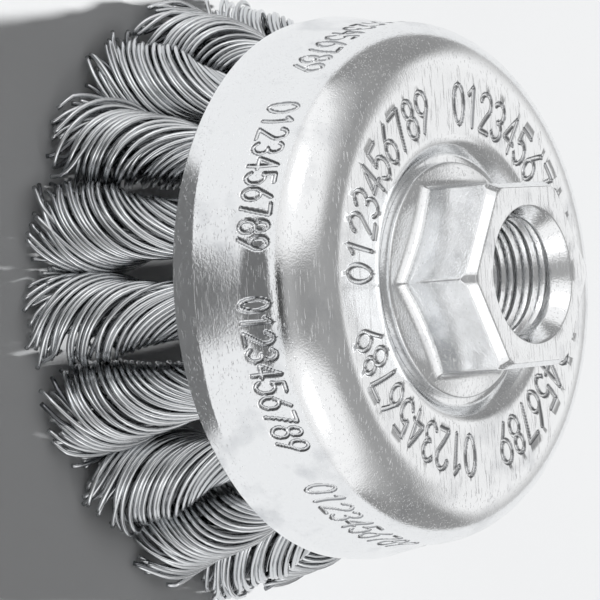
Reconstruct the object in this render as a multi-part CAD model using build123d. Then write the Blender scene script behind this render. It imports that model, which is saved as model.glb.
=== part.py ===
from build123d import *
import math
import os

# Wire cup brush with twisted knots, standing on its wire tips with the spindle nut up.
# Millimetres. The origin is on the brush's axis, in the plane of the wire tips. +Z is up.

# Brush and wires
TIP_FLARE = 5.6              # how far the wire tips stand out past the cup's wall
FREE_LENGTH = 16.9           # wire length below the cup's rim
KNOT_COUNT = 18
FIRST_KNOT_ANGLE = -87.5     # degrees from +X
WIRE_DIAMETER = 0.5
WIRES_PER_KNOT = 60          # ends at the tip, from half as many folded wires
LEG_PACKING = 0.8            # share of steel in a straight bundle
WAIST_PACKING = 0.45         # share of steel in the twisted waist
KNOT_TURNS = 1.08            # turns of the twist from fold to tip
TWIST_AT_FOLD = 0.26         # twist rate under the fold, as a share of the mean rate
FLARE_SHARE = 0.6            # share of the free wire over which a knot flares to its full width
KNOT_GAP = 0.08              # between neighbouring knots where they flare
STRANDS = 9                  # ridges round a knot
STRAND_DEPTH = 0.2           # groove depth as a share of the knot's radius
KNOT_SPANS = 11              # levels along a knot

# Pressed cup
CUP_DIAMETER = 54.7          # outside of the straight wall
CUP_HEIGHT = 15.9            # rim to flat top
CUP_SHEET = 1.5
SHOULDER_RADIUS = 5.85
STEP_OUT = 1.35              # how far the rim band stands out from the wall
STEP_LENGTH = 5.4            # height over which the wall widens
BAND_HEIGHT = 2.5            # bent band above the rim
BAND_TAPER = 0.35            # how far the band closes in towards the rim
BAND_BEND = 1.7              # crisp bend at the top of the band
DISH_DEPTH = 1.9             # dish round the nut
DISH_LAND = 0.8              # floor left between the nut's flange and the sloping side
DISH_SLOPE = 1.5             # run of the sloping side
DISH_RADIUS = 2.0            # bend at the dish's edge
DISH_FOOT_RADIUS = 1.0       # bend at the dish's floor

# Nut, M14 x 2
ACROSS_FLATS = 19.0
HEX_HEIGHT = 9.3
EDGE_BEVEL = 1.0             # height of the bevel along the six edges of the face
EDGE_BEVEL_ANGLE = 28.0      # degrees from the flats
CORNER_START = 0.55          # the turned corner bevel starts this far outside the flats
CORNER_BEVEL_ANGLE = 60.0    # degrees below the face
FOOT_RADIUS = 1.4            # hollow blend from the flats to the flange
FOOT_ROOM_SHARE = 1.15       # largest blend, as a share of the flange outside the corners
FLANGE_REACH = 2.8           # how far the round flange stands out past the flats
FLANGE_THICKNESS = 1.2       # at its edge
FLANGE_SLOPE = 18.0          # degrees, the flange's top rises towards the hexagon
THREAD_MINOR_DIAMETER = 11.84
MOUTH_FLARE = 1.23           # how far the mouth opens past the thread's crests
MOUTH_DEPTH = 1.9
NECK_DIAMETER = 17.0
NECK_FIT = 0.05              # radial clearance of the neck in the cup and the holder
LIP_WIDTH = 1.6              # how far the flared lip reaches under the holder
LIP_HEIGHT = 1.3

# Knot holder, a pressed ring plate
HOLDER_SHEET = 2.0
WEB_WIDTH = 1.6              # plate between a hole and the outer edge
LEG_CLEARANCE = 0.2          # round the wire bundles in the holes and at the edge
SEAT_GAP = 0.1               # under the fold and below the plate
WALL_GAP = 0.25              # between the knots' heads and the cup
HOLDER_BEND = 2.4            # bend over the joggle, on the upper face
FOLD_STEPS = 6               # straight pieces round a fold
LEG_SIDES = 6

# Heights, from the wire tips up
rim_z = FREE_LENGTH
cup_top_z = rim_z + CUP_HEIGHT
dish_floor_z = cup_top_z - DISH_DEPTH
dish_under_z = dish_floor_z - CUP_SHEET
holder_inner_z = dish_under_z - HOLDER_SHEET
flange_top_z = dish_floor_z + FLANGE_THICKNESS
nut_face_z = flange_top_z + HEX_HEIGHT
lip_end_z = holder_inner_z - LIP_HEIGHT

# Wire bundles and their fold over the holder's edge
leg_radius = WIRE_DIAMETER / 2 * math.sqrt(WIRES_PER_KNOT / 2 / LEG_PACKING)
leg_flat = leg_radius * math.cos(math.pi / LEG_SIDES)
hole_radius = leg_radius + LEG_CLEARANCE
waist_radius = WIRE_DIAMETER / 2 * math.sqrt(WIRES_PER_KNOT / WAIST_PACKING)
fold_radius = WEB_WIDTH / 2 + LEG_CLEARANCE + leg_radius
head_reach = fold_radius + leg_radius + LEG_CLEARANCE
fold_inside = (fold_radius - leg_flat) * math.cos(math.pi / FOLD_STEPS / 2) - SEAT_GAP

wall_radius = CUP_DIAMETER / 2
cup_inner_radius = wall_radius - CUP_SHEET
fold_circle = cup_inner_radius - WALL_GAP - head_reach
fold_z = cup_top_z - CUP_SHEET - WALL_GAP - head_reach
web_reach = WEB_WIDTH / 2 + hole_radius - math.sqrt(hole_radius**2 - (leg_radius / 2) ** 2)
holder_top_z = fold_z + math.sqrt(fold_inside**2 - web_reach**2)
holder_bottom_z = holder_top_z - HOLDER_SHEET
knot_top_z = holder_bottom_z - SEAT_GAP

# Plan radii of the holder, the nut, the dish and the knots
hole_circle = fold_circle - fold_radius
holder_radius = fold_circle + fold_radius - leg_radius - LEG_CLEARANCE
bore_radius = THREAD_MINOR_DIAMETER / 2
flats_radius = ACROSS_FLATS / 2
flange_radius = flats_radius + FLANGE_REACH
dish_radius = flange_radius + DISH_LAND + DISH_SLOPE
neck_radius = NECK_DIAMETER / 2
neck_hole_radius = neck_radius + NECK_FIT
lip_radius = neck_radius + LIP_WIDTH
half_pitch = math.sin(math.pi / KNOT_COUNT)
tip_circle = (wall_radius + TIP_FLARE + KNOT_GAP / 2) / (1 + half_pitch)


def pressed_sheet(points, radii, thickness):
    """Ring of bent sheet, given along its upper face from the hole outwards, turned round Z."""
    corners = [Vector(r, 0, z) for r, z in points]
    runs = [(end - start).normalized() for start, end in zip(corners, corners[1:])]
    normals = [Vector(run.Z, 0, -run.X) for run in runs]
    under = [corners[0] + normals[0] * thickness]
    under_radii = []
    for corner, bend, before, after in zip(corners[1:], radii, normals, normals[1:]):
        under.append(corner + (before + after) * (thickness / (1 + before.dot(after))))
        turns_down = before.cross(after).Y > 0
        under_radii.append(bend - thickness if turns_down else bend + thickness)
    under.append(corners[-1] + normals[-1] * thickness)

    faces = [FilletPolyline(*corners, radius=radii), FilletPolyline(*under, radius=under_radii)]
    ends = [Line(corners[0], under[0]), Line(corners[-1], under[-1])]
    return revolve(make_face(faces + ends), axis=Axis.Z)


def make_cup():
    """Cup: dished top, round shoulder, straight wall, step and tapered rim band."""
    band_radius = wall_radius + STEP_OUT
    points = [
        (neck_hole_radius, dish_floor_z),
        (dish_radius - DISH_SLOPE, dish_floor_z),
        (dish_radius, cup_top_z),
        (wall_radius, cup_top_z),
        (wall_radius, rim_z + BAND_HEIGHT + STEP_LENGTH),
        (band_radius, rim_z + BAND_HEIGHT),
        (band_radius - BAND_TAPER, rim_z),
    ]
    radii = [DISH_FOOT_RADIUS, DISH_RADIUS, SHOULDER_RADIUS, 4 * STEP_LENGTH, BAND_BEND]
    return pressed_sheet(points, radii, CUP_SHEET)


def make_holder():
    """Holder: a ring plate, dished to lie under the cup's dish, with a hole for each knot."""
    joggle_run = dish_under_z - holder_top_z
    joggle_start = lip_radius + HOLDER_BEND
    points = [
        (neck_hole_radius, dish_under_z),
        (joggle_start, dish_under_z),
        (joggle_start + joggle_run, holder_top_z),
        (holder_radius, holder_top_z),
    ]
    plate = pressed_sheet(points, [HOLDER_BEND, HOLDER_BEND / 2], HOLDER_SHEET)
    drill = Cylinder(hole_radius, 3 * HOLDER_SHEET)
    for knot in range(KNOT_COUNT):
        angle = FIRST_KNOT_ANGLE + 360 / KNOT_COUNT * knot
        plate -= Rot(0, 0, angle) * Pos(hole_circle, 0, holder_top_z - HOLDER_SHEET / 2) * drill
    return plate


def make_nut():
    """Nut: hexagon with a corner on -Y, round flange, and a neck flared under the holder."""
    hexagon = RegularPolygon(flats_radius, 6, major_radius=False, rotation=30)
    shaft = Pos(0, 0, flange_top_z) * extrude(hexagon, HEX_HEIGHT - EDGE_BEVEL)
    cap = Pos(0, 0, nut_face_z - EDGE_BEVEL) * extrude(hexagon, EDGE_BEVEL, taper=EDGE_BEVEL_ANGLE)
    bevel_start = flats_radius + CORNER_START
    bevel_run = HEX_HEIGHT / math.tan(math.radians(CORNER_BEVEL_ANGLE))
    blank = [
        (0, nut_face_z),
        (bevel_start, nut_face_z),
        (bevel_start + bevel_run, flange_top_z),
        (0, flange_top_z),
    ]
    prism = (shaft + cap) & turned(blank)

    cone_run = FLANGE_REACH + FOOT_RADIUS
    cone_top_z = flange_top_z + cone_run * math.tan(math.radians(FLANGE_SLOPE))
    flange = [
        (0, dish_floor_z),
        (flange_radius, dish_floor_z),
        (flange_radius, flange_top_z),
        (flange_radius - cone_run, cone_top_z),
        (0, cone_top_z),
    ]
    body = prism + turned(flange)
    foot = [
        edge
        for edge in body.edges()
        if edge.geom_type not in (GeomType.LINE, GeomType.CIRCLE) and edge.center().Z < cone_top_z
    ]
    # The blend stays inside the flange's edge, where the hexagon's corners leave least room.
    corner_room = flange_radius - flats_radius / math.cos(math.pi / 6)
    body = fillet(foot, min(FOOT_RADIUS, corner_room * FOOT_ROOM_SHARE))
    neck = [
        (0, dish_floor_z),
        (neck_radius, dish_floor_z),
        (neck_radius, holder_inner_z),
        (lip_radius, holder_inner_z),
        (lip_radius - LIP_HEIGHT / 4, lip_end_z + LIP_HEIGHT / 2),
        (neck_radius - LIP_HEIGHT / 2, lip_end_z),
        (0, lip_end_z),
    ]
    body += turned(neck)
    bore = [
        (0, lip_end_z),
        (bore_radius, lip_end_z),
        (bore_radius, nut_face_z - MOUTH_DEPTH),
        (bore_radius + MOUTH_FLARE, nut_face_z),
        (0, nut_face_z),
    ]
    return body - turned(bore)


def turned(points):
    """Solid of revolution round Z from corner points in the XZ plane."""
    return revolve(Face(Wire.make_polygon([(r, 0, z) for r, z in points])), axis=Axis.Z)


def skin(rings):
    """Solid of flat facets through rings of equally many points, closed at both ends."""
    facets = [Face(Wire.make_polygon(ring)) for ring in (rings[0], rings[-1])]
    for ring, following in zip(rings, rings[1:]):
        for here in range(len(ring)):
            beside = (here + 1) % len(ring)
            near = (ring[here], ring[beside], following[here])
            far = (ring[beside], following[beside], following[here])
            facets += [Face(Wire.make_polygon(near)), Face(Wire.make_polygon(far))]
    return Solid(Shell(facets))


def ease(value):
    """Smooth step from 0 to 1."""
    value = min(max(value, 0), 1)
    return value * value * (3 - 2 * value)


def rope_ring(turned_share):
    """One level of the twisted rope, after this share of the whole twist."""
    slow = TWIST_AT_FOLD
    fast = 1 - slow
    along = (math.sqrt(slow**2 + 4 * fast * turned_share) - slow) / (2 * fast)
    z = knot_top_z * (1 - along)
    axis_radius = fold_circle + (tip_circle - fold_circle) * along
    rim_share = 1 - rim_z / knot_top_z

    gathered = ease(along / rim_share)
    flared = ease((along - rim_share) / (1 - rim_share) / FLARE_SHARE)
    touching = axis_radius * half_pitch - KNOT_GAP / 2
    width = waist_radius + (touching - waist_radius) * flared
    reach = head_reach + (width - head_reach) * gathered
    groove = 1 - STRAND_DEPTH * gathered

    ring = []
    for corner in range(2 * STRANDS):
        angle = math.pi * corner / STRANDS + 2 * math.pi * KNOT_TURNS * turned_share
        depth = groove if corner % 2 else 1
        x = axis_radius + reach * depth * math.cos(angle)
        y = width * depth * math.sin(angle)
        ring.append((x, y, z))
    return ring


def fold_rings():
    """Bundle that rises through the hole, folds over the web and comes down outside the edge."""
    rings = [leg_ring(0, knot_top_z - fold_z)]
    rings += [leg_ring(math.pi * step / FOLD_STEPS, 0) for step in range(FOLD_STEPS + 1)]
    rings.append(leg_ring(math.pi, knot_top_z - fold_z))
    return rings


def leg_ring(turn, drop):
    """Cross-section of the folded bundle, this far round the fold and lowered by drop."""
    ring = []
    for corner in range(LEG_SIDES):
        angle = 2 * math.pi * (corner + 0.5) / LEG_SIDES
        out = fold_radius + leg_radius * math.cos(angle)
        x = fold_circle - out * math.cos(turn)
        z = fold_z + out * math.sin(turn) + drop
        ring.append((x, leg_radius * math.sin(angle), z))
    return ring


def make_knot():
    """Wire knot on the +X side: the folded head and the twisted, flaring rope below it."""
    rope = skin([rope_ring(level / KNOT_SPANS) for level in range(KNOT_SPANS + 1)])
    return rope + skin(fold_rings())


os.makedirs("parts", exist_ok=True)
export_step(make_cup(), "parts/cup.step")
export_step(make_nut(), "parts/threaded_nut.step")
export_step(make_holder(), "parts/knot_holder.step")

# Neighbouring knots are twisted in opposite hands.
hands = [make_knot()]
hands.append(mirror(hands[0], about=Plane.XZ))
for knot in range(KNOT_COUNT):
    angle = FIRST_KNOT_ANGLE + 360 / KNOT_COUNT * knot
    export_step(Rot(0, 0, angle) * hands[knot % 2], f"parts/wire_knot_{knot + 1:02d}.step")
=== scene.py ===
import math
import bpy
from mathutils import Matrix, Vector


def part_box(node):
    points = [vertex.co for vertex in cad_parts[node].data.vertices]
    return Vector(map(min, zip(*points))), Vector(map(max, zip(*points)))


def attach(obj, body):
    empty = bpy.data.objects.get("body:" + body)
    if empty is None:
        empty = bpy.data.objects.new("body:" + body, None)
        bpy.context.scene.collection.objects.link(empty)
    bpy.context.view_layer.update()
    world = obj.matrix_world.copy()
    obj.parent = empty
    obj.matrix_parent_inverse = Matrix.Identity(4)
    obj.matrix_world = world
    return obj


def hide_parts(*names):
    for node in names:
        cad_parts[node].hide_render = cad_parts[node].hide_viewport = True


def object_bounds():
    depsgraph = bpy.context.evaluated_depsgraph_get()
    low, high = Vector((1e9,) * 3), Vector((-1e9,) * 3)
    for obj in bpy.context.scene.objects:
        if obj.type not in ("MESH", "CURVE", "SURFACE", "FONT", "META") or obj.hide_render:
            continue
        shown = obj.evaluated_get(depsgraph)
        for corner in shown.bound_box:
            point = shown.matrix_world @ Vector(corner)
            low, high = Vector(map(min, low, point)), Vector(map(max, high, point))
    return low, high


bl_info = {
    "name": "Wire cup brush",
    "version": (1, 0, 0),
    "blender": (4, 5, 0),
    "location": "3D View > Sidebar > Cup brush",
    "description": "Dresses a twisted-knot wire cup brush: zinc plated cup and nut, real wires, studio",
    "category": "Object",
}

import bmesh
import bpy
import numpy as np
from mathutils import Matrix, Vector

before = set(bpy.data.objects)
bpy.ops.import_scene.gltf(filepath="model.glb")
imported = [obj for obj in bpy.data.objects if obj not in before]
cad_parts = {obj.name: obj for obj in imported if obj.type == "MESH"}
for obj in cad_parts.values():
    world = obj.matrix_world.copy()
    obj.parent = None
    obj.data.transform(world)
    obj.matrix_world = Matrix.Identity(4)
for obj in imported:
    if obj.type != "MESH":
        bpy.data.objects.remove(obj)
CAD_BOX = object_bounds()

MM = 0.001
TAU = 2 * math.pi
KNOTS = sorted(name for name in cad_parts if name.startswith("wire_knot_"))
CUP_LOW, CUP_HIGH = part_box("cup")
NUT_LOW, NUT_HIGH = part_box("threaded_nut")


def srgb(code):
    """An sRGB hex colour as linear red, green, blue and alpha."""
    parts = [int(code[i:i + 2], 16) / 255 for i in (1, 3, 5)]
    return [c / 12.92 if c <= 0.04045 else ((c + 0.055) / 1.055) ** 2.4 for c in parts] + [1.0]


def length(name, text, default):
    """A length setting in metres."""
    return bpy.props.FloatProperty(name=name, description=text, default=default, unit="LENGTH",
                                   subtype="DISTANCE", precision=5)


def tint(name, text, code):
    """A colour setting, given as an sRGB hex value."""
    return bpy.props.FloatVectorProperty(name=name, description=text, default=srgb(code),
                                         size=4, subtype="COLOR", min=0.0, max=1.0)


class CupSettings(bpy.types.PropertyGroup):
    sheet: length("Sheet", "Thickness of the pressed sheet", 1.5 * MM)
    shoulder: length("Shoulder radius", "Bend between the flat top and the wall", 5.85 * MM)
    wall: length("Wall radius", "Outside radius of the straight wall", 27.35 * MM)
    step: length("Step length", "Height over which the wall widens to the band", 6.2 * MM)
    band: length("Band height", "Bent band above the cut rim", 2.5 * MM)
    taper: length("Band taper", "How far the band closes in towards the rim", 0.15 * MM)
    dish: length("Dish radius", "Edge of the dish round the nut", 14.6 * MM)
    dish_depth: length("Dish depth", "Depth of the dish round the nut", 1.9 * MM)
    edge: length("Edge rounding", "Rounding of the sheared sheet edges", 0.2 * MM)


class StampSettings(bpy.types.PropertyGroup):
    height: length("Wall digit height", "Height of the stamped digits on the wall", 3.5 * MM)
    pitch: length("Wall digit pitch", "Distance from one wall digit to the next", 1.7 * MM)
    top_height: length("Top digit height", "Height of the stamped digits on the flat top", 4.1 * MM)
    top_pitch: length("Top digit pitch", "Distance from one top digit to the next", 2.45 * MM)
    stroke: length("Stroke width", "Width of a stamped groove on the wall", 0.42 * MM)
    depth: length("Stamp depth", "Depth of a stamped groove on the wall", 0.2 * MM)


class NutSettings(bpy.types.PropertyGroup):
    flats: length("Across flats", "Width of the hexagon", 19.0 * MM)
    bevel: length("Edge bevel", "Height of the bevel along the face's six edges", 1.0 * MM)
    foot: length("Foot blend", "Hollow blend from the flats to the flange", 1.4 * MM)
    flange: length("Flange radius", "Round flange at the foot", 12.3 * MM)
    rim: length("Flange edge", "Thickness of the flange at its edge", 1.2 * MM)
    pitch: length("Thread pitch", "Pitch of the spindle thread", 2.0 * MM)
    thread: length("Thread diameter", "Major diameter of the spindle thread", 14.0 * MM)
    crests: length("Crest diameter", "Minor diameter of the spindle thread", 11.84 * MM)
    mouth: length("Mouth diameter", "Wide end of the tapered mouth", 14.3 * MM)
    mouth_depth: length("Mouth depth", "Depth of the tapered mouth", 1.9 * MM)
    neck: length("Neck diameter", "Neck through the cup", 17.0 * MM)


class WireSettings(bpy.types.PropertyGroup):
    diameter: length("Wire diameter", "Diameter of one wire", 0.5 * MM)
    ragged: length("Ragged ends", "Spread of the wires' cut lengths", 0.9 * MM)
    flare: length("Tip flare", "How far the tips stand out past the cup's wall", 5.6 * MM)
    turns: bpy.props.FloatProperty(name="Turns", description="Turns of a knot from fold to tip",
                                   default=1.08, min=0.0, max=3.0)
    lobe: bpy.props.FloatProperty(name="Lobe", description="How far the two legs make a knot oval",
                                  default=0.12, min=0.0, max=0.5, subtype="FACTOR")
    strays: bpy.props.FloatProperty(name="Stray wires", description="Share of wires that wander",
                                    default=0.06, min=0.0, max=1.0, subtype="FACTOR")
    loose: bpy.props.FloatProperty(name="Looseness", description="How far wires stray in the rope",
                                   default=0.6, min=0.0, max=1.0, subtype="FACTOR")
    seed: bpy.props.IntProperty(name="Seed", description="Seed of the wires' irregularity", default=7)


class FinishSettings(bpy.types.PropertyGroup):
    zinc: tint("Zinc", "Bright zinc plating", "#F6F7F8")
    dull_zinc: tint("Dull zinc", "Zinc in scuffs and hollows", "#D2D4D7")
    # Painted shade: the dark grey laid on the steep sides of the stamped grooves, standing in for the shade
    # that falls in them.
    groove: tint("Painted_groove_shade", "Zinc on the steep sides of stamped grooves", "#77797D")
    steel: tint("Plate steel", "Plain pressed steel plate", "#A9AAAC")
    wire: tint("Wire steel", "Bright drawn steel wire", "#DADCDE")
    dark_wire: tint("Dark wire", "The darkest of the drawn wires", "#5E6064")


class StageSettings(bpy.types.PropertyGroup):
    floor: tint("Floor", "Plain pale floor", "#F2F3F4")
    lens: bpy.props.FloatProperty(name="Lens", description="Focal length in millimetres",
                                  default=257.07, min=1.0)
    level: bpy.props.FloatProperty(name="Light level", description="Strength of all the lights",
                                   default=1.0, min=0.0)


# Shapes. Every length in them is in millimetres.

SAME_POINT = 1e-6
ARC_STEP = math.radians(7)  # largest turn between two points of a bend


def fillet_line(corners, radii, spacing):
    """Closed profile in (r, z) with rounded corners: points and outward normals, one row each."""
    points, normals = [], []

    def put(point, normal):
        if not points or np.linalg.norm(point - points[-1]) >= SAME_POINT:
            points.append(point)
            normals.append(normal)

    corners = [np.array(c, float) for c in corners]
    for i, (corner, radius) in enumerate(zip(corners, radii)):
        before, after = corners[i - 1], corners[(i + 1) % len(corners)]
        run_in = (corner - before) / np.linalg.norm(corner - before)
        run_out = (after - corner) / np.linalg.norm(after - corner)
        normal_in = np.array([-run_in[1], run_in[0]])
        turn = math.atan2(run_in[0] * run_out[1] - run_in[1] * run_out[0], run_in @ run_out)
        cut = abs(radius * math.tan(turn / 2))
        start = corner - run_in * cut
        side = 1 if turn > 0 else -1
        centre = start + normal_in * side * radius
        if points:
            last = points[-1]
            steps = max(1, math.ceil(np.linalg.norm(start - last) / spacing(normal_in)))
            for k in range(1, steps + 1):
                put(last + (start - last) * k / steps, normal_in)
        else:
            put(start, normal_in)
        arc = abs(turn) * radius
        steps = max(3, math.ceil(arc / spacing(normal_in)), math.ceil(abs(turn) / ARC_STEP))
        for k in range(1, steps + 1):
            angle = turn * k / steps
            c, s = math.cos(angle), math.sin(angle)
            normal = np.array([c * normal_in[0] - s * normal_in[1], s * normal_in[0] + c * normal_in[1]])
            put(centre - normal * side * radius, normal)
    return np.array(points), np.array(normals)


def new_object(name, data):
    """Object of a mesh, lamp or camera, in the scene."""
    obj = bpy.data.objects.new(name, data)
    bpy.context.scene.collection.objects.link(obj)
    return obj


def new_mesh(name, verts, faces, smooth=True):
    """Mesh object from points in millimetres."""
    mesh = bpy.data.meshes.new(name)
    mesh.from_pydata((np.asarray(verts, float) * MM).tolist(), [], faces)
    mesh.polygons.foreach_set("use_smooth", [smooth] * len(mesh.polygons))
    mesh.update()
    return new_object(name, mesh)


def clean(obj, distance=0.0):
    """Turns every face outwards, and first joins points that coincide within a distance."""
    work = bmesh.new()
    work.from_mesh(obj.data)
    if distance:
        bmesh.ops.remove_doubles(work, verts=work.verts, dist=distance * MM)
        bmesh.ops.dissolve_degenerate(work, edges=work.edges, dist=distance * MM)
    bmesh.ops.recalc_face_normals(work, faces=work.faces)
    work.to_mesh(obj.data)
    work.free()


def settle(obj, node, material):
    """Puts a finished piece in its node's place, with its finish."""
    obj.data.materials.clear()
    obj.data.materials.append(material)
    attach(obj, "root")
    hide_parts(node)


# Name of the mask of the stamped grooves, 0 on plain metal and 1 at a groove's floor. The cup's finish
# paints shade in the grooves from it.
GROOVE = "groove"
# A stamped digit is a list of strokes in a cell one high and this wide.
CELL_WIDTH = 0.6


def bow(cx, cy, rx, ry, start, end, steps=10):
    """Elliptical stroke, with angles in degrees."""
    angles = np.radians(np.linspace(start, end, steps + 1))
    return [(cx + rx * math.cos(a), cy + ry * math.sin(a)) for a in angles]


DIGITS = [
    [bow(0.3, 0.5, 0.28, 0.5, 0, 360, 20)],
    [[(0.12, 0.8), (0.34, 1.0), (0.34, 0.0)]],
    [bow(0.3, 0.72, 0.28, 0.28, 170, -35) + [(0.03, 0.0), (0.58, 0.0)]],
    [bow(0.28, 0.74, 0.27, 0.26, 150, -90) + bow(0.28, 0.25, 0.3, 0.25, 90, -150)[1:]],
    [[(0.45, 0.0), (0.45, 1.0), (0.02, 0.3), (0.6, 0.3)]],
    [[(0.54, 1.0), (0.1, 1.0), (0.07, 0.56)] + bow(0.28, 0.32, 0.3, 0.32, 130, -150)],
    [[(0.5, 1.0)] + bow(0.3, 0.3, 0.28, 0.3, 150, 510, 20)],
    [[(0.03, 1.0), (0.57, 1.0), (0.2, 0.0)]],
    [bow(0.3, 0.76, 0.23, 0.24, 0, 360, 16), bow(0.3, 0.26, 0.29, 0.26, 0, 360, 18)],
    [[(0.1, 0.0)] + bow(0.3, 0.7, 0.28, 0.3, -30, 330, 20)],
]


def stamp(across, up, placed, stroke, depth):
    """Depth of the stamped grooves at each grid point, less the burr raised beside them."""
    grid = np.zeros((len(up), len(across)))
    reach = stroke * 0.9
    for digit, left, foot, width, height in placed:
        cols = np.nonzero((across > left - reach) & (across < left + width + reach))[0]
        rows = np.nonzero((up > foot - reach) & (up < foot + height + reach))[0]
        if not len(cols) or not len(rows):
            continue
        px, py = np.meshgrid(across[cols] - left, up[rows] - foot)
        near = np.full(px.shape, np.inf)
        for line in DIGITS[digit]:
            line = np.array(line) * (width / CELL_WIDTH, height)
            for (ax, ay), (bx, by) in zip(line, line[1:]):
                dx, dy = bx - ax, by - ay
                share = np.clip(((px - ax) * dx + (py - ay) * dy) / (dx * dx + dy * dy), 0, 1)
                near = np.minimum(near, np.hypot(px - ax - share * dx, py - ay - share * dy))
        half = stroke / 2
        groove = depth * np.clip(1.25 - 1.25 * (near / half) ** 2, 0, 1)
        burr = 0.2 * depth * np.exp(-(((near - half * 1.3) / (half * 0.4)) ** 2))
        window = np.ix_(rows, cols)
        grid[window] = np.maximum(grid[window], groove - burr)
    return grid


# The cup's hole, the run of the dish's side, and the bends at the dish's foot and edge and at the band.
CUP_HOLE, DISH_SIDE = 8.55, 1.5
DISH_FOOT_BEND, DISH_BEND, BAND_BEND = 1.0, 2.0, 1.7
# Rows and columns of the cup's mesh: close together on the outside, where digits are stamped.
ROW, INSIDE_ROW, LONGEST_ROW = 0.15, 2.5, 1.6
STAMP_COLUMNS, PLAIN_COLUMNS = 1200, 240
# Groups of digits, the foot of the digits and the stamped zone: by height on the wall, by radius on top.
WALL_GROUPS, WALL_FOOT, WALL_ZONE = 8, 24.45, (24.05, 28.35)
TOP_GROUPS, TOP_FOOT, TOP_ZONE, TOP_MIDDLE = 4, 16.2, (15.75, 20.75), 18.25


def cup_profile(cup):
    """Corners and bends of the closed cup profile, out along its upper face and back along the inside."""
    top, rim = CUP_HIGH.z / MM, CUP_LOW.z / MM
    sheet, wall, dish, edge = cup.sheet / MM, cup.wall / MM, cup.dish / MM, cup.edge / MM
    band_top, band_out = rim + cup.band / MM, CUP_HIGH.x / MM
    floor = top - cup.dish_depth / MM
    out = [
        (CUP_HOLE, floor), (dish - DISH_SIDE, floor), (dish, top), (wall, top),
        (wall, band_top + cup.step / MM), (band_out, band_top), (band_out - cup.taper / MM, rim),
    ]
    bends = [DISH_FOOT_BEND, DISH_BEND, cup.shoulder / MM, 1.5 * cup.step / MM, BAND_BEND]
    out = [np.array(p, float) for p in out]
    runs = [(b - a) / np.linalg.norm(b - a) for a, b in zip(out, out[1:])]
    sides = [np.array([-d[1], d[0]]) for d in runs]
    under, under_bends = [out[0] - sides[0] * sheet], []
    for corner, bend, before, after in zip(out[1:], bends, sides, sides[1:]):
        under.append(corner - (before + after) * sheet / (1 + before @ after))
        falls = before[0] * after[1] - before[1] * after[0] < 0
        under_bends.append(bend - sheet if falls else bend + sheet)
    under.append(out[-1] - sides[-1] * sheet)
    return out + under[::-1], [edge] + bends + [edge, edge] + under_bends[::-1] + [edge]


def stamped(point, normal):
    """Whether a row of the cup lies in a ring of digits."""
    on_wall = normal[0] > 0.7 and WALL_ZONE[0] < point[1] < WALL_ZONE[1]
    on_top = normal[1] > 0.99 and TOP_ZONE[0] < point[0] < TOP_ZONE[1]
    return on_wall or on_top


def cup_rows(cup):
    """Points and normals of the cup's rows: all of them on the stamps, elsewhere those the shape needs."""
    def spacing(normal):
        return ROW if normal[0] > 0.5 or normal[1] > 0.5 else INSIDE_ROW

    points, normals = fillet_line(*cup_profile(cup), spacing)
    keep = [0]
    for i in range(1, len(points)):
        point, normal, last = points[i], normals[i], keep[-1]
        inside = normal[0] < 0.01 and normal[1] < 0.01
        bent = normals[last] @ normal < math.cos(2 * ARC_STEP if inside else ARC_STEP)
        far = np.linalg.norm(points[last] - point) > LONGEST_ROW
        bend_next = i + 1 < len(points) and normals[i + 1] @ normal < 0.99999
        starts_bend = bend_next and normals[i - 1] @ normal > 0.999999
        if stamped(point, normal) or bent or far or starts_bend:
            keep.append(i)
    return points[keep], normals[keep]


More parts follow.
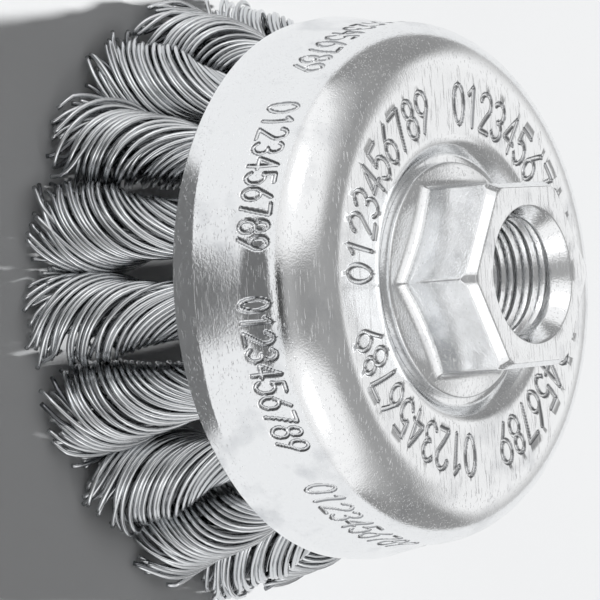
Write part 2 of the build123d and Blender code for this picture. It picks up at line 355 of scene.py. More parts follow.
def make_cup(cup, marks):
    """Turned cup shell with a finer grid where the digits are stamped."""
    points, normals = cup_rows(cup)
    fine = np.array([stamped(p, n) for p, n in zip(points, normals)])
    wall, stroke, depth = cup.wall / MM, marks.stroke / MM, marks.depth / MM
    phi = np.linspace(0, TAU, STAMP_COLUMNS, endpoint=False)
    sunk = np.zeros((len(points), STAMP_COLUMNS))
    # The wall's digits face along r, the top's along z. The top's are larger.
    for facing, middle, groups, foot, pitch, height in (
            (0, wall, WALL_GROUPS, WALL_FOOT, marks.pitch, marks.height),
            (1, TOP_MIDDLE, TOP_GROUPS, TOP_FOOT, marks.top_pitch, marks.top_height)):
        digits = ring_of_digits(TAU * middle, groups, pitch / MM, foot, height / MM)
        rows = np.nonzero(fine & (normals[:, facing] > 0.7))[0]
        across = (TAU - phi if facing else phi) * middle
        larger = height / marks.height
        sunk[rows] = stamp(across, points[rows, 1 - facing], digits, stroke * larger, depth * larger)

    # Exact normals: the turned profile's own, tilted by the slopes of the stamped grooves.
    run = np.insert(np.cumsum(np.linalg.norm(np.diff(points, axis=0), axis=1)), 0, 0)
    slope_up = np.gradient(sunk, run, axis=0)
    step = 2 * TAU / STAMP_COLUMNS * points[:, :1]
    slope_round = (np.roll(sunk, -1, axis=1) - np.roll(sunk, 1, axis=1)) / step

    verts, vert_normals, grooves, rings = [], [], [], []
    total = 0
    for i, (point, normal) in enumerate(zip(points, normals)):
        columns = np.arange(0, STAMP_COLUMNS, 1 if fine[i] else STAMP_COLUMNS // PLAIN_COLUMNS)
        down, up, side = (grid[i, columns][:, None] for grid in (sunk, slope_up, slope_round))
        lowered = point - normal * down
        tilted = normal + np.array([normal[1], -normal[0]]) * up
        out = np.stack([np.sin(phi[columns]), -np.cos(phi[columns])], 1)
        along = np.stack([np.cos(phi[columns]), np.sin(phi[columns])], 1)
        verts.append(np.hstack([out * lowered[:, :1], lowered[:, 1:]]))
        vert_normals.append(np.hstack([out * tilted[:, :1] + along * side, tilted[:, 1:]]))
        grooves.append(down[:, 0])
        rings.append((total, len(columns)))
        total += len(columns)
    faces = []
    for here, there in zip(rings, rings[1:] + rings[:1]):
        faces += band(here, there)
    obj = new_mesh("cup_shell", np.concatenate(verts), faces)
    clean(obj)
    vert_normals = np.concatenate(vert_normals)
    vert_normals /= np.linalg.norm(vert_normals, axis=1)[:, None]
    obj.data.normals_split_custom_set_from_vertices(vert_normals.tolist())
    # The grooves' mask, from which the finish paints shade along the grooves' sides.
    groove = obj.data.attributes.new(GROOVE, "FLOAT", "POINT")
    groove.data.foreach_set("value", np.clip(np.concatenate(grooves) / depth, 0, 1))
    return obj


def ring_of_digits(around, groups, pitch, foot, height):
    """Plain digits 0 to 9 in equal groups round a circle: digit, left, foot, width, height."""
    width, start = pitch * 0.76, 0.4
    return [
        (digit, around * group / groups + digit * pitch + start, foot, width, height)
        for group in range(groups) for digit in range(10)
    ]


def band(here, there):
    """Faces between two rings of points, which may have different counts."""
    (a, n), (b, m) = here, there
    if n == m:
        return [(a + i, b + i, b + (i + 1) % m, a + (i + 1) % n) for i in range(n)]
    if n > m:
        return [tuple(reversed(face)) for face in band(there, here)]
    ratio = m // n
    half = ratio // 2
    faces = []
    for i in range(n):
        left, right = a + i, a + (i + 1) % n
        dense = [b + (i * ratio + k) % m for k in range(ratio + 1)]
        for k in range(half):
            faces.append((left, dense[k], dense[k + 1]))
        faces.append((left, dense[half], dense[half + 1], right))
        for k in range(half + 1, ratio):
            faces.append((right, dense[k], dense[k + 1]))
    return faces


SIXTH = math.pi / 3


def off_corner(theta):
    """Angle from the nearest corner of a hexagon with a corner on -Y."""
    return np.abs((theta + SIXTH / 2) % SIXTH - SIXTH / 2)


def hexagon_radius(theta, inradius, corner):
    """Distance from the axis to a hexagon with rounded corners."""
    off = off_corner(theta)
    centre = (inradius - corner) / math.cos(SIXTH / 2)
    flat = inradius / np.cos(SIXTH / 2 - off)
    inside = np.maximum(corner**2 - (centre * np.sin(off)) ** 2, 0)
    arc = centre * np.cos(off) + np.sqrt(inside)
    tangent = SIXTH / 2 - math.atan((inradius - corner) * math.tan(SIXTH / 2) / inradius)
    return np.where(off < tangent, arc, flat)


HEX_CORNER = 0.4  # rounding of the hexagon's upright edges
HEX_STEPS = [0.0, 0.33, 0.66, 1.4, 3.0, 6.0, 10.0, 15.0, 20.0, 25.0]  # degrees from a corner
BEVEL_ANGLE = math.radians(28)  # bevel along the face's six edges, from the flats
CORNER_START, CORNER_ANGLE = 0.55, math.radians(60)  # turned bevel: outside the flats, down from the face
BEVEL_SOFT = 0.12  # how softly the bevels start
FLANGE_ANGLE = math.radians(18)  # rise of the flange's top towards the hexagon
# Neck flared over under the knot holder: height, width, bulge, and radii of its lower face and the bore.
LIP_HEIGHT, LIP_WIDTH, LIP_BULGE, LIP_FOOT, BORE_END = 1.3, 1.6, 0.47, 7.85, 7.1
BORE_CHAMFER = 1.1  # slope of the bore's lower end
THREAD_FADE = 1.0  # height over which the thread starts below the mouth


def ring(radius, theta, z):
    """Points of a ring or helix round the axis, counted from -Y."""
    return np.stack([radius * np.sin(theta), -radius * np.cos(theta), z], 1)


def nut_rows(nut, cup, theta):
    """Rings of the nut's outside from the mouth over the flats and flange to the lip: (radius, z) each."""
    face, low = NUT_HIGH.z / MM, NUT_LOW.z / MM
    seat = (CUP_HIGH.z - cup.dish_depth) / MM
    half_flats, neck, mouth = nut.flats / MM / 2, nut.neck / MM / 2, nut.mouth / MM / 2
    flange, flange_top, foot = nut.flange / MM, seat + nut.rim / MM, nut.foot / MM
    bevel_slope, flange_slope = 1 / math.tan(BEVEL_ANGLE), math.tan(FLANGE_ANGLE)
    bevel = nut.bevel / MM / bevel_slope
    corner_start = half_flats + CORNER_START
    level = 0 * theta
    reach = hexagon_radius(theta, half_flats, HEX_CORNER)
    to_flat = np.cos(SIXTH / 2 - off_corner(theta))

    def face_height(r):
        edge = (r * to_flat - (half_flats - bevel)) * bevel_slope
        cone = (r - corner_start) * math.tan(CORNER_ANGLE)
        drop = np.maximum(edge, cone)
        return face - 0.5 * (drop + np.sqrt(drop**2 + BEVEL_SOFT**2))

    rows = [(mouth + 0.03 + level, face - 0.03 + level)]
    rows += [(mouth + out + level, face + level) for out in (0.1, 0.9)]
    flat_end = np.minimum((half_flats - bevel) / to_flat, corner_start)
    for share in (-0.6, -0.3, -0.15, -0.05, 0.05, 0.15, 0.3, 0.6, 0.88, 0.97):
        r = flat_end + (reach - flat_end) * share
        rows.append((r, face_height(r)))
    # Down the flats, round the hollow foot and out over the flange.
    lowest = face_height(reach) - 0.03
    blend = flange_top + (flange - reach - foot) * flange_slope + foot / math.cos(FLANGE_ANGLE)
    for share in (0, 0.03, 0.35, 0.7, 0.98, 1.0):
        rows.append((reach, lowest + (blend - lowest) * share))
    for angle in np.linspace(0, math.pi / 2 - FLANGE_ANGLE, 8)[1:]:
        rows.append((reach + foot * (1 - math.cos(angle)), blend - foot * math.sin(angle)))
    for share in (0.3, 0.75):
        r = rows[-1][0] + (flange - 0.15 - rows[-1][0]) * share
        rows.append((r, flange_top + (flange - r) * flange_slope))
    lip_top, lip_reach = low + LIP_HEIGHT, neck + LIP_WIDTH
    for r, z in [
        (flange - 0.15, flange_top + 0.05), (flange - 0.04, flange_top - 0.02), (flange, flange_top - 0.12),
        (flange, seat + 0.05), (flange - 0.05, seat), (neck, seat), (neck, lip_top), (lip_reach, lip_top),
        ((lip_reach + neck) / 2 + LIP_BULGE, low + LIP_HEIGHT / 2), (LIP_FOOT, low), (BORE_END, low),
    ]:
        rows.append((r + level, z + level))
    return rows


def thread_lines(nut, theta):
    """Helical lines of the bore from its lower end up: turns of the thread, with both ends cut level."""
    low, mouth_z = NUT_LOW.z / MM, NUT_HIGH.z / MM
    mouth, mouth_depth = nut.mouth / MM / 2, nut.mouth_depth / MM
    pitch, major, crests = nut.pitch / MM, nut.thread / MM / 2, nut.crests / MM / 2
    flank = (major - crests) * math.tan(math.radians(30))
    crest = pitch / 4
    root = pitch - crest - 2 * flank
    # One pitch of the thread as (height, share of its depth), with crests rounded over 0.06 mm.
    shape = [
        (0.06, 0), (crest / 2, 0), (crest - 0.06, 0), (crest, 0.03), (crest + flank * 0.5, 0.5),
        (crest + flank, 1), (crest + flank + root, 1), (pitch - flank * 0.5, 0.5), (pitch, 0.03),
    ]
    top = mouth_z - 0.06
    lines = []
    for turn in range(math.floor((low - pitch) / pitch), math.ceil((top + pitch) / pitch) + 1):
        for phase, cut in shape:
            z = np.clip(turn * pitch + phase + pitch * theta / TAU - pitch, low, top)
            cone = mouth - (mouth_z - z) * (mouth - crests) / mouth_depth
            lower = BORE_END - (z - low) * BORE_CHAMFER
            grooved = crests + cut * (major - crests) * ease((mouth_z - mouth_depth - z) / THREAD_FADE)
            lines.append(ring(np.maximum(np.maximum(cone, lower), grooved), theta, z))
    return lines, top


def make_nut(nut, cup):
    """Hexagon nut with bevelled face, hollow foot, sloping flange, flared neck and a cut thread."""
    around = sorted(set(HEX_STEPS + [30.0] + [60 - s for s in HEX_STEPS]))[:-1]
    theta = np.radians(np.array([60 * k + s for k in range(6) for s in around]))
    count = len(theta)
    verts = [ring(r, theta, z) for r, z in nut_rows(nut, cup, theta)]
    faces = []
    for i in range(len(verts) - 1):
        faces += band((i * count, count), ((i + 1) * count, count))

    lines, top = thread_lines(nut, np.append(theta, TAU))
    base, across = count * len(verts), count + 1
    for i in range(len(lines) - 1):
        for k in range(count):
            a = base + i * across + k
            faces.append((a, a + 1, a + across + 1, a + across))
    lip = base + across * len(lines)
    lines.append(ring(nut.mouth / MM / 2 - 0.04, theta, top + 0 * theta))
    faces += band((lip, count), (0, count))
    obj = new_mesh("spindle_nut", np.concatenate(verts + lines), faces)
    clean(obj, 0.012)
    # Keeps the flats flat where they meet small roundings.
    weighted = obj.modifiers.new("even_normals", "WEIGHTED_NORMAL")
    weighted.mode = "FACE_AREA"
    weighted.keep_sharp = True
    return obj


def ease(value):
    """Smooth step from 0 to 1."""
    value = np.clip(value, 0, 1)
    return value * value * (3 - 2 * value)


# Wires across one knot: how many lie in each layer, and the layer's share of the knot's size.
LAYERS = [(28, 1.0), (18, 0.74), (10, 0.46), (4, 0.18)]
WIRES = sum(number for number, share in LAYERS)
FIRST_ANGLE = math.radians(-87.5)  # direction of the first knot
SLOW_TWIST = 0.26  # twist rate under the fold, as a share of the mean rate
LEG_PACKING, WAIST_PACKING = 0.8, 0.45  # share of steel in a straight bundle and in the twisted waist
WEB, LEG_ROOM = 1.6, 0.2  # holder plate outside a hole, and the room round a bundle
WALL_GAP, KNOT_GAP = 0.25, 0.08  # between the folds and the cup, and between flared knots
STRAIGHT_LEG = 1.682  # from the fold's middle down to the start of the twist
FLARE_SHARE = 0.6  # share of the free wire over which a knot flares
WIRE_SPANS, FOLD_SPANS, WIRE_SIDES = 34, 8, 8
BOX_ROOM = 0.01  # left between the wires and the CAD solids' box
SOFT_LIMIT = 0.5  # wires this near the box are bent back to stay in it


class Rope:
    """The line and size of a twisted knot, in millimetres, as in the CAD solids."""

    def __init__(self, wires, cup):
        self.wire = wires.diameter / MM
        self.leg = self.wire / 2 * math.sqrt(WIRES / 2 / LEG_PACKING)
        self.waist = self.wire / 2 * math.sqrt(WIRES / WAIST_PACKING)
        self.fold_radius = WEB / 2 + LEG_ROOM + self.leg
        self.head = self.fold_radius + self.leg + LEG_ROOM
        self.fold_circle = (cup.wall - cup.sheet) / MM - WALL_GAP - self.head
        self.fold_z = (CUP_HIGH.z - cup.sheet) / MM - WALL_GAP - self.head
        self.top = self.fold_z - STRAIGHT_LEG
        self.half_pitch = math.sin(math.pi / len(KNOTS))
        self.tip_circle = (cup.wall / MM + wires.flare / MM + KNOT_GAP / 2) / (1 + self.half_pitch)
        self.rim_share = 1 - CUP_LOW.z / MM / self.top

    def section(self, along):
        """Axis radius, radial half width and half width across at this share of the way down."""
        axis = self.fold_circle + (self.tip_circle - self.fold_circle) * along
        gathered = ease(along / self.rim_share)
        flared = ease((along - self.rim_share) / (1 - self.rim_share) / FLARE_SHARE)
        touching = axis * self.half_pitch - KNOT_GAP / 2
        width = self.waist + (touching - self.waist) * flared
        reach = self.head + (width - self.head) * gathered
        return axis, reach, width


def way_down(share):
    """Share of the way down a knot after this share of its twist, which starts slowly."""
    fast = 1 - SLOW_TWIST
    return (np.sqrt(SLOW_TWIST**2 + 4 * fast * share) - SLOW_TWIST) / (2 * fast)


def wire_places():
    """Layer share and angle of each wire in the knot: the half away from the cup's axis, and the other."""
    outer, inner = [], []
    for number, radius in LAYERS:
        for k in range(number):
            angle = TAU * (k + 0.5) / number
            (outer if math.cos(angle) > 0 else inner).append((radius, angle))
    return outer, inner


def leg_places(rope, count):
    """Places of the wires in one straight leg, as offsets from its middle."""
    golden = math.pi * (3 - math.sqrt(5))
    k = np.arange(count)
    radius = (rope.leg - rope.wire * 0.42) * np.sqrt((k + 0.4) / count)
    return np.stack([radius * np.cos(golden * k), radius * np.sin(golden * k)], 1)


def pair_up(places, wanted):
    """Gives each wanted place the nearest free leg place, starting with the outermost."""
    free = list(range(len(places)))
    chosen = np.zeros(len(wanted), int)
    for i in np.argsort(-np.hypot(wanted[:, 0], wanted[:, 1])):
        near = min(free, key=lambda j: float(np.hypot(*(places[j] - wanted[i]))))
        free.remove(near)
        chosen[i] = near
    return chosen


def half_wire(rope, radius, angle, leg_offset, side, rng, wires, turns, slim):
    """One wire from the leg down to its tip, in the knot's own frame: x outwards, y across."""
    loose, ragged = wires.loose, wires.ragged / MM
    # The lowest ends rest on the floor.
    end_z = rope.wire / 2 * 0.9 + min(abs(rng.normal(0, ragged)), 2.2 * ragged)
    end_along = 1 - end_z / rope.top
    end_share = SLOW_TWIST * end_along + (1 - SLOW_TWIST) * end_along**2
    # Points lie closer together towards the tip.
    share = np.linspace(0, 1, WIRE_SPANS + 1) ** 0.92 * end_share
    along = way_down(share)
    axis, reach, width = rope.section(along)
    z = rope.top * (1 - along)

    # Wires wander round and in and out. The third draw of each is spare.
    wave, rate = rng.uniform(0, TAU, 3), rng.uniform(0.6, 1.7, 3)
    wild = 4.0 if rng.random() < wires.strays else 1.0
    stray = loose * wild * ease(along * 3)
    swing = 0.10 * stray * np.sin(wave[0] + TAU * rate[0] * along)
    breathe = 0.05 * stray * np.sin(wave[1] + TAU * rate[1] * along)
    # Tips splay sideways and outwards, the inner layers more.
    inner = radius < 0.9
    flare = ease((along - 0.8) / 0.2)
    splay = flare * rng.normal(0, 0.2) * loose * 2
    spread = flare * rng.normal(*((0.1, 0.17) if inner else (0.02, 0.13))) * loose * 2
    size = np.clip(radius * (1 + 0.12 * flare * inner) + breathe + spread, 0.05, 1.22)

    # The two legs side by side make the knot wider one way than the other.
    oval = wires.lobe * ease(along / rope.rim_share) * (1 - ease((along - 0.5) * 2))
    # The twist pulls the knot in just below the rim.
    waist = slim * np.exp(-(((along - rope.rim_share - 0.12) / 0.16) ** 2))
    pressed = (1 + math.cos(2 * angle) * oval) * (1 - waist)
    # The cut ends spring back, each by its own amount.
    sprung = rng.uniform(0.02, 0.15) * np.clip((along - 0.86) / 0.14, 0, 1) ** 2
    turn = angle + TAU * turns * (share - sprung) + swing + splay
    x = axis + (reach - rope.wire / 2) * size * pressed * np.cos(turn)
    y = (width - rope.wire / 2) * size * pressed * np.sin(turn)
    # The straight leg turns into the twist.
    joined = ease(along / 0.11)
    leg_x = rope.fold_circle + side * rope.fold_radius + leg_offset[0]
    x = leg_x + (x - leg_x) * joined
    y = leg_offset[1] + (y - leg_offset[1]) * joined
    return np.stack([x, y, z], 1)


def tube(path, radius):
    """Points of a round wire along a path, ring by ring."""
    along = np.gradient(path, axis=0)
    along /= np.linalg.norm(along, axis=1)[:, None]
    # The first ring's side may be any that is square to the wire. Each later one turns with the wire.
    side = np.cross(along[0], [0.3, 0.9, 0.31])
    frames = []
    for direction in along:
        side = side - direction * (side @ direction)
        side = side / np.linalg.norm(side)
        frames.append((side, np.cross(direction, side)))
    turn = TAU * np.arange(WIRE_SIDES)[None, :, None] / WIRE_SIDES
    u = np.array([f[0] for f in frames])[:, None, :]
    v = np.array([f[1] for f in frames])[:, None, :]
    rings = path[:, None, :] + radius * (u * np.cos(turn) + v * np.sin(turn))
    return rings.reshape(-1, 3)


def make_knot(name, rope, wires, index):
    """One knot: wires, each folded over the holder and twisted with the rest to two tips."""
    rng = np.random.default_rng(wires.seed * 1000 + index)
    hand = 1 if index % 2 == 0 else -1
    # No two knots are twisted or pulled in quite alike.
    turns = wires.turns + rng.uniform(-0.08, 0.08)
    slim = rng.uniform(0.06, 0.2)
    outer, inner = wire_places()
    places = leg_places(rope, len(outer))
    wanted = np.array([(r * math.cos(a) * 2 - 1, r * math.sin(a)) for r, a in outer]) * rope.leg
    chosen = pair_up(places, wanted)
    radius = rope.wire / 2
    low = np.array([CAD_BOX[0].x, CAD_BOX[0].y]) / MM + radius + BOX_ROOM
    high = np.array([CAD_BOX[1].x, CAD_BOX[1].y]) / MM - radius - BOX_ROOM
    furthest = high.max()
    soft = furthest - SOFT_LIMIT
    knot_angle = FIRST_ANGLE + TAU / len(KNOTS) * index
    c, s = math.cos(knot_angle), math.sin(knot_angle)
    verts, quads, caps = [], [], []
    total = 0
    for k, (r, a) in enumerate(outer):
        offset = places[chosen[k]]
        # A wire's other leg is at the same depth and the same place across.
        partner = min(inner, key=lambda place: (
            abs(place[0] - r) * 9 + abs(math.sin(place[1]) - math.sin(a)) * r))
        inner.remove(partner)
        first = half_wire(rope, r, a, offset, 1, rng, wires, turns, slim)
        second = half_wire(rope, *partner, (-offset[0], offset[1]), -1, rng, wires, turns, slim)
        bend = rope.fold_radius + offset[0]
        arch = [
            (rope.fold_circle + bend * math.cos(t), offset[1], rope.fold_z + bend * math.sin(t))
            for t in np.linspace(0, math.pi, FOLD_SPANS + 1)
        ]
        path = np.concatenate([first[::-1], arch, second])
        path[:, 1] *= hand
        path = np.stack([path[:, 0] * c - path[:, 1] * s, path[:, 0] * s + path[:, 1] * c, path[:, 2]], 1)
        out = np.hypot(path[:, 0], path[:, 1])
        past = np.tanh((out - soft) / (furthest - soft)) * (furthest - soft)
        held = np.where(out > soft, soft + past, out)
        path[:, :2] = np.clip(path[:, :2] * (held / out)[:, None], low, high)
        verts.append(tube(path, radius))
        grid = total + np.arange(len(path) * WIRE_SIDES).reshape(len(path), WIRE_SIDES)
        beside = np.roll(grid, -1, axis=1)
        quads.append(np.stack([grid[:-1], beside[:-1], beside[1:], grid[1:]], -1).reshape(-1, 4))
        caps += [tuple(grid[0][::-1].tolist()), tuple(grid[-1].tolist())]
        total += grid.size
    points = np.concatenate(verts)
    points[:, 2] = np.maximum(points[:, 2], 0)
    faces = [tuple(q) for q in np.concatenate(quads).tolist()]
    obj = new_mesh(name.replace("wire_knot", "knot_wires"), points, faces + caps)
    for polygon in obj.data.polygons[-len(caps):]:
        polygon.use_smooth = False
    return obj


# Finishes

def feed(tree, node, inputs):
    """Sets a node's inputs, and links those that are given as nodes or sockets."""
    for key, value in inputs.items():
        if isinstance(value, bpy.types.Node):
            value = value.outputs[0]
        if isinstance(value, bpy.types.NodeSocket):
            tree.links.new(value, node.inputs[key])
        else:
            node.inputs[key].default_value = value


def add(tree, kind, inputs=None, stops=None, **settings):
    """Adds a shader node with its settings, its inputs and a colour ramp's stops."""
    node = tree.nodes.new("ShaderNode" + kind)
    for key, value in settings.items():
        setattr(node, key, value)
    feed(tree, node, inputs or {})
    if stops:
        marks = node.color_ramp.elements
        marks[0].position, marks[0].color = stops[0]
        marks[1].position, marks[1].color = stops[-1]
        for position, color in stops[1:-1]:
            marks.new(position).color = color
    return node


def metal(name):
    """Material with a metal surface: (material, tree, surface node)."""
    material = bpy.data.materials.new(name)
    material.use_nodes = True
    tree = material.node_tree
    surface = tree.nodes["Principled BSDF"]
    surface.inputs["Metallic"].default_value = 1.0
    return material, tree, surface


def grey(value):
    """A linear grey as red, green, blue and alpha."""
    return (value, value, value, 1.0)


def around_axis(tree, radius):
    """Position, and position as (distance round the axis, height, distance from the axis)."""
    place = add(tree, "TexCoord").outputs["Object"]
    x, y, z = add(tree, "SeparateXYZ", {0: place}).outputs
    angle = add(tree, "Math", {0: x, 1: y}, operation="ARCTAN2")
    arc = add(tree, "Math", {0: angle, 1: radius}, operation="MULTIPLY")
    flat = add(tree, "CombineXYZ", {0: x, 1: y})
    out = add(tree, "VectorMath", {0: flat}, operation="LENGTH").outputs["Value"]
    return place, add(tree, "CombineXYZ", {0: arc, 1: z, 2: out})


def scratches(tree, place, turn):
    """Thin scratches one way, 4 mm long and 0.15 mm wide: 0 on clean metal and 1 in a scratch."""
    turned = add(tree, "Mapping", {"Vector": place, "Rotation": turn, "Scale": (260, 6500, 6500)})
    lines = add(tree, "TexNoise", {"Vector": turned, "Scale": 1.0, "Detail": 1.0})
    return add(tree, "MapRange", {0: lines, 1: 0.69, 2: 0.75})


def plated(name, finish, radius, lines, peel):
    """Zinc over a worked surface: tool lines, a grainy peel, scratches, duller patches, and painted shade
    in the stamped grooves.
    """
    material, tree, surface = metal(name)
    place, wrapped = around_axis(tree, radius)
    # Lines of the tool, 0.17 mm apart: real ones are finer and would not show.
    drawn = add(tree, "VectorMath", {0: wrapped, 1: lines}, operation="MULTIPLY")
    drawn = add(tree, "TexNoise", {"Vector": drawn, "Scale": 1.0, "Detail": 2.0})
    # Grain of the plated sheet, 0.2 mm across.
    grain = add(tree, "TexNoise", {"Vector": place, "Scale": 5000.0, "Detail": 3.0})
    # Patches 6 mm across.
    patches = add(tree, "TexNoise", {"Vector": place, "Scale": 160.0, "Detail": 4.0, "Roughness": 0.6})
    marks = scratches(tree, place, (0.3, 0.7, 0.5))
    for turn in ((1.3, -0.6, 2.1), (0.4, 1.2, 1.3)):
        marks = add(tree, "Math", {0: marks, 1: scratches(tree, place, turn)}, operation="MAXIMUM")
    shade = add(tree, "ValToRGB", {"Fac": patches}, stops=[(0.55, finish.zinc), (0.8, finish.dull_zinc)])
    # Painted shade: stamped grooves are painted dark along their steep sides and pale on their floor.
    cut = add(tree, "Attribute", attribute_name=GROOVE)
    steep = add(tree, "ValToRGB", {"Fac": cut.outputs["Fac"]},
                stops=[(0.04, grey(0)), (0.2, grey(0.9)), (0.6, grey(0.7)), (0.95, grey(0.1))])
    shade = add(tree, "Mix", {0: steep, 6: shade, 7: finish.groove}, data_type="RGBA")
    soft = add(tree, "MapRange", {0: patches, 1: 0.35, 2: 0.7, 3: 0.05, 4: 0.17})
    rough = add(tree, "Math", {0: marks, 1: 0.2, 2: soft}, operation="MULTIPLY_ADD")
    # Each relief lies on the one before. Depths are in metres, and scratches are cut in.
    relief = {}
    for height, strength, deep in (
            (drawn, 0.05, 0.00002), (grain, peel, 0.00004), (patches, 0.3, 0.0001), (marks, 0.45, 0.00003)):
        relief.update({"Height": height, "Strength": strength, "Distance": deep})
        bump = add(tree, "Bump", relief, invert=height is marks)
        relief["Normal"] = bump
    feed(tree, surface, {"Base Color": shade.outputs[2], "Roughness": rough, "Normal": bump})
    return material


def zinc_plated_pressed_steel(finish):
    """Bright zinc plating on deep drawn sheet: clear reflections, broken up by grain and scratches."""
    # The lines run round the cup, 17 mm long.
    return plated("zinc_plated_pressed_steel", finish, 0.0273, (60, 5800, 5800), 0.28)


def zinc_plated_turned_steel(finish):
    """Bright zinc plating on a turned and forged nut: rings on the face and a grain on the flats."""
    # Fine rings on the face, and wider bands round the flats.
    return plated("zinc_plated_turned_steel", finish, 0.0095, (30, 1500, 5800), 0.45)


def bright_drawn_steel_wire(finish):
    """Hard drawn steel wire: a narrow bright line along each wire, some wires darker than others."""
    material, tree, surface = metal("bright_drawn_steel_wire")
    place = add(tree, "TexCoord").outputs["Object"]
    each = add(tree, "NewGeometry").outputs["Random Per Island"]
    shade = add(tree, "ValToRGB", {"Fac": each},
                stops=[(0.0, finish.dark_wire), (0.5, finish.wire), (1.0, finish.wire)])
    # Duller and brighter stretches, about 0.6 mm long.
    skin = add(tree, "TexNoise", {"Vector": place, "Scale": 1800.0, "Detail": 3.0})
    rough = add(tree, "MapRange", {0: skin, 1: 0.3, 2: 0.7, 3: 0.1, 4: 0.22})
    feed(tree, surface, {"Base Color": shade, "Roughness": rough})
    return material


def pressed_mild_steel(finish):
    """Plain pressed plate with a grey rolled skin."""
    material, tree, surface = metal("pressed_mild_steel")
    place = add(tree, "TexCoord").outputs["Object"]
    # Cloudy rolled skin, 1.4 mm across.
    skin = add(tree, "TexNoise", {"Vector": place, "Scale": 700.0, "Detail": 4.0})
    shade = add(tree, "ValToRGB", {"Fac": skin}, stops=[(0.3, finish.steel), (0.7, finish.dark_wire)])
    bump = add(tree, "Bump", {"Height": skin, "Strength": 0.2, "Distance": 0.00005})
    feed(tree, surface, {"Base Color": shade, "Roughness": 0.42, "Normal": bump})
    return material


# Stage

def softbox(name, place, side, radiance):
    """Square area lamp of an even radiance, aimed at the brush."""
    lamp = bpy.data.lights.new(name, "AREA")
    lamp.shape = "RECTANGLE"
    lamp.size = lamp.size_y = side
    lamp.energy = radiance * side * side * math.pi
    obj = new_object(name, lamp)
    obj.location = place
    obj.rotation_euler = (Vector((0.0, 0.0, 0.02)) - Vector(place)).to_track_quat("-Z", "Y").to_euler()


def build_room(level):
    """Studio walls as the camera and polished metal see them, and an even fill for everything else."""
    world = bpy.context.scene.world or bpy.data.worlds.new("room")
    bpy.context.scene.world = world
    world.use_nodes = True
    # Only rays that reach the walls count, because the walls look different to metal than to paper.
    world.cycles.sampling_method = "NONE"
    tree = world.node_tree
    walls = tree.nodes["Background"]
    x, y, z = add(tree, "SeparateXYZ", {0: add(tree, "TexCoord").outputs["Generated"]}).outputs
    tilt = add(tree, "Math", {0: z, 1: y}, operation="ARCTAN2")
    share = add(tree, "Math", {0: tilt, 1: math.pi}, operation="DIVIDE")
    # From the back wall at 0, over the ceiling at 0.5, to the front wall at 1: along the middle of the
    # room, and along its sides, where two wide white screens stand left and right of the camera.
    middle = add(tree, "ValToRGB", {"Fac": share}, stops=[
        (0.0, grey(0.5)), (0.09, grey(0.8)), (0.14, grey(0.95)), (0.205, grey(0.92)), (0.255, grey(0.34)),
        (0.5, grey(0.36)), (0.72, grey(0.3)), (0.85, grey(0.42)), (0.91, grey(0.36)), (0.95, grey(0.07)),
        (1.0, grey(0.05))])
    sides = add(tree, "ValToRGB", {"Fac": share}, stops=[
        (0.0, grey(0.3)), (0.2, grey(0.27)), (0.34, grey(0.32)), (0.42, grey(0.5)), (0.48, grey(0.75)),
        (0.54, grey(0.95)), (0.85, grey(1.0)), (1.0, grey(0.85))])
    # The middle lies a little to the right, and is wider towards the back wall.
    aside = add(tree, "Math", {0: x, 1: -0.07}, operation="ADD")
    aside = add(tree, "Math", {0: aside}, operation="ABSOLUTE")
    behind = add(tree, "Math", {0: y, 1: 0.0}, operation="MAXIMUM")
    aside = add(tree, "Math", {0: behind, 1: -0.25, 2: aside}, operation="MULTIPLY_ADD")
    near_side = add(tree, "MapRange", {0: aside, 1: 0.18, 2: 0.4}, interpolation_type="SMOOTHSTEP")
    shade = add(tree, "Mix", {0: near_side, 6: middle, 7: sides}, data_type="RGBA")
    feed(tree, walls, {"Color": shade.outputs[2], "Strength": level})
    fill = add(tree, "Background", {"Color": grey(0.15), "Strength": level})
    rays = add(tree, "LightPath")
    sees = rays.outputs["Is Camera Ray"]
    for kind in ("Is Glossy Ray", "Is Transmission Ray"):
        sees = add(tree, "Math", {0: sees, 1: rays.outputs[kind]}, operation="MAXIMUM")
    both = add(tree, "MixShader", {0: sees, 1: fill, 2: walls})
    feed(tree, tree.nodes["World Output"], {"Surface": both})


def build_stage(stage):
    """Pale floor, studio room, soft lamps and the camera."""
    far = 3000.0
    corners = [(-far, -far, 0), (far, -far, 0), (far, far, 0), (-far, far, 0)]
    floor = new_mesh("floor", corners, [(0, 1, 2, 3)], smooth=False)
    # Just under the wire ends, so that no two faces share a plane.
    floor.location.z = -0.00002
    paper = bpy.data.materials.new("matt_pale_floor")
    paper.use_nodes = True
    tree = paper.node_tree
    feed(tree, tree.nodes["Principled BSDF"],
         {"Base Color": stage.floor, "Roughness": 0.9, "Specular IOR Level": 0.1})
    floor.data.materials.append(paper)

    build_room(stage.level)
    # A large lamp far behind lights the floor evenly, and puts the brush's shadow in front of it.
    lamp = bpy.data.lights.new("back_lamp", "SUN")
    lamp.energy, lamp.angle = 9.9 * stage.level, math.radians(4)
    obj = new_object("back_lamp", lamp)
    obj.rotation_euler = (math.radians(-75), 0.0, 0.0)
    obj.visible_glossy = False
    for name, x in (("right_softbox", 0.75), ("left_softbox", -0.75)):
        softbox(name, (x, -0.65, 0.45), 0.35, 1.05 * stage.level)

    # The camera that fits the photograph, with the brush standing up.
    data = bpy.data.cameras.new("photo_camera")
    data.lens, data.sensor_width = stage.lens, 36.0
    data.clip_start, data.clip_end = 0.01, 20.0
    camera = new_object("photo_camera", data)
    right = Vector((0.0744, 0.5992, 0.7972)).normalized()
    back = Vector((0.0, -0.7994, 0.6008)).normalized()
    turn = Matrix((right, back.cross(right).normalized(), back)).transposed()
    camera.matrix_world = Matrix.Translation((0.00089, -0.36514, 0.2858)) @ turn.to_4x4()
    bpy.context.scene.camera = camera
    bpy.context.scene.view_settings.view_transform = "Standard"


# Operators

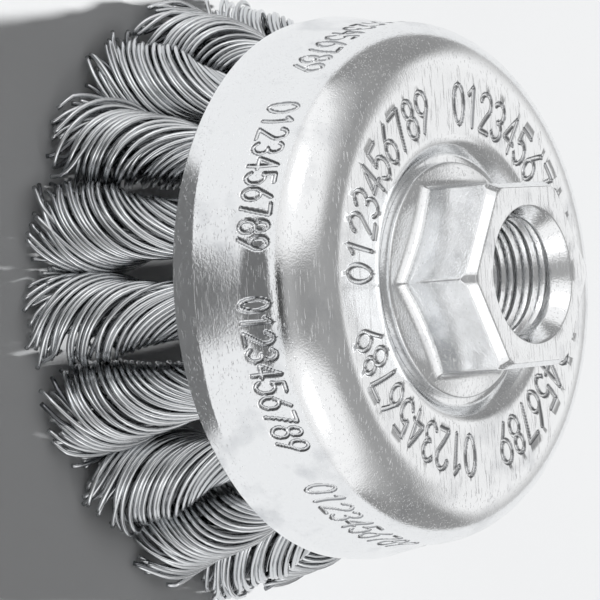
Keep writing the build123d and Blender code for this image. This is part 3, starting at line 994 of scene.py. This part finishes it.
class CUPBRUSH_OT_cup(bpy.types.Operator):
    """Build the zinc plated cup with its stamped digits"""
    bl_idname = "cupbrush.cup"
    bl_label = "Cup"

    def execute(self, context):
        scene = context.scene
        obj = make_cup(scene.brush_cup, scene.brush_stamp)
        settle(obj, "cup", zinc_plated_pressed_steel(scene.brush_finish))
        return {"FINISHED"}


class CUPBRUSH_OT_nut(bpy.types.Operator):
    """Build the hexagon nut with its spindle thread"""
    bl_idname = "cupbrush.nut"
    bl_label = "Nut"

    def execute(self, context):
        scene = context.scene
        obj = make_nut(scene.brush_nut, scene.brush_cup)
        settle(obj, "threaded_nut", zinc_plated_turned_steel(scene.brush_finish))
        return {"FINISHED"}


class CUPBRUSH_OT_knots(bpy.types.Operator):
    """Build the wires of every twisted knot"""
    bl_idname = "cupbrush.knots"
    bl_label = "Wire knots"

    def execute(self, context):
        scene = context.scene
        rope = Rope(scene.brush_wires, scene.brush_cup)
        material = bright_drawn_steel_wire(scene.brush_finish)
        for index, name in enumerate(KNOTS):
            obj = make_knot(name, rope, scene.brush_wires, index)
            settle(obj, name, material)
        return {"FINISHED"}


class CUPBRUSH_OT_holder(bpy.types.Operator):
    """Finish the pressed plate that holds the knots"""
    bl_idname = "cupbrush.holder"
    bl_label = "Knot holder"

    def execute(self, context):
        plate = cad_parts["knot_holder"]
        plate.data.materials.clear()
        plate.data.materials.append(pressed_mild_steel(context.scene.brush_finish))
        return {"FINISHED"}


class CUPBRUSH_OT_stage(bpy.types.Operator):
    """Set the floor, the lamps and the camera"""
    bl_idname = "cupbrush.stage"
    bl_label = "Stage"

    def execute(self, context):
        build_stage(context.scene.brush_stage)
        return {"FINISHED"}


class CUPBRUSH_PT_sidebar(bpy.types.Panel):
    """Steps and sizes of the wire cup brush"""
    bl_label = "Wire cup brush"
    bl_idname = "CUPBRUSH_PT_sidebar"
    bl_space_type = "VIEW_3D"
    bl_region_type = "UI"
    bl_category = "Cup brush"

    def draw(self, context):
        layout = self.layout
        for operator in OPERATORS:
            layout.operator(operator.bl_idname)
        for name in SETTINGS:
            group = getattr(context.scene, name)
            for key in group.__annotations__:
                layout.prop(group, key)


SETTINGS = {
    "brush_cup": CupSettings, "brush_stamp": StampSettings, "brush_nut": NutSettings,
    "brush_wires": WireSettings, "brush_finish": FinishSettings, "brush_stage": StageSettings,
}
OPERATORS = [CUPBRUSH_OT_cup, CUPBRUSH_OT_nut, CUPBRUSH_OT_knots, CUPBRUSH_OT_holder, CUPBRUSH_OT_stage]


def register():
    for group in SETTINGS.values():
        bpy.utils.register_class(group)
    for operator in OPERATORS:
        bpy.utils.register_class(operator)
    bpy.utils.register_class(CUPBRUSH_PT_sidebar)
    for name, group in SETTINGS.items():
        setattr(bpy.types.Scene, name, bpy.props.PointerProperty(type=group))


def unregister():
    for name in SETTINGS:
        delattr(bpy.types.Scene, name)
    bpy.utils.unregister_class(CUPBRUSH_PT_sidebar)
    for operator in reversed(OPERATORS):
        bpy.utils.unregister_class(operator)
    for group in reversed(list(SETTINGS.values())):
        bpy.utils.unregister_class(group)


def main():
    register()
    bpy.ops.cupbrush.stage()
    bpy.ops.cupbrush.cup()
    bpy.ops.cupbrush.nut()
    bpy.ops.cupbrush.knots()
    bpy.ops.cupbrush.holder()


if __name__ == "__main__":
    main()
